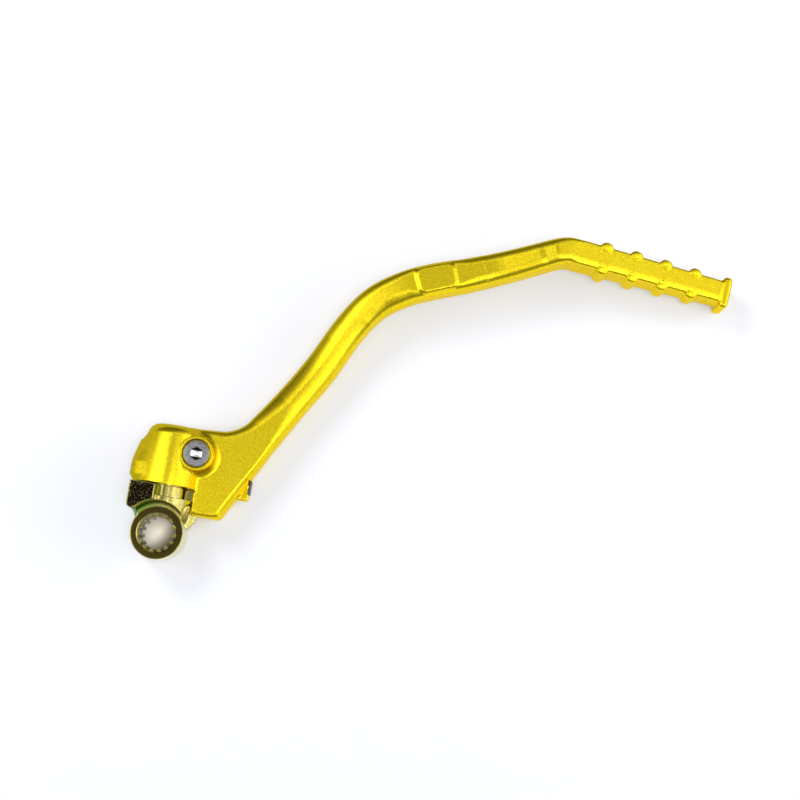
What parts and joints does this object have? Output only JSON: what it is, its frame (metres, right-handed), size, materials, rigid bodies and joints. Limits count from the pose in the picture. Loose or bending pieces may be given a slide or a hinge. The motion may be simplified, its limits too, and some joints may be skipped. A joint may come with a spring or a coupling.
{
  "type": "folding kick start lever",
  "caption": "Folding motorcycle kick start lever: an S-shaped forged arm with a ribbed pedal turns on a steel joint with a splined hub.",
  "frame": {"origin": "on the axis of the splined bore, at the hub's engine-side face, which is also the height of the bench that the lever lies on", "axes": "+Z outward along the splined bore, away from the engine; +Y along the folding pivot; +X towards the pedal"},
  "size_m": [0.2638, 0.1791, 0.03],
  "materials": {
    "passivated_steel": "forged and machined steel, zinc plated and passivated yellow-green, dark in the rough places",
    "anodised_arm": "forged aluminium, finely blasted and anodised yellow",
    "dark_screw": "dark grey coated steel with turned grain",
    "black_rubber": "matt moulded rubber",
    "bright_steel": "bright hardened steel"
  },
  "bodies": {
    "joint_body": {"knuckle": "passivated_steel", "dust_seal": "black_rubber"},
    "arm_body": {"kick_arm": "anodised_arm", "pivot_screw": "dark_screw", "bump_stop": "black_rubber", "detent_spring": "bright_steel"},
    "ball_body": {"detent_ball": "bright_steel"}
  },
  "joints": [
    {"name": "fold", "type": "hinge", "parent": "joint_body", "child": "arm_body", "pos_m": [0, 0.0332, 0.0136], "axis": [0, -1, 0], "range_deg": [0, 90]},
    {"name": "ball_travel", "type": "slide", "parent": "arm_body", "child": "ball_body", "axis": [0, 1, 0], "range_m": [0, 0.0004], "stiffness_N_per_m": 3000, "springref_m": -0.001, "deforming": ["detent_spring"]}
  ]
}
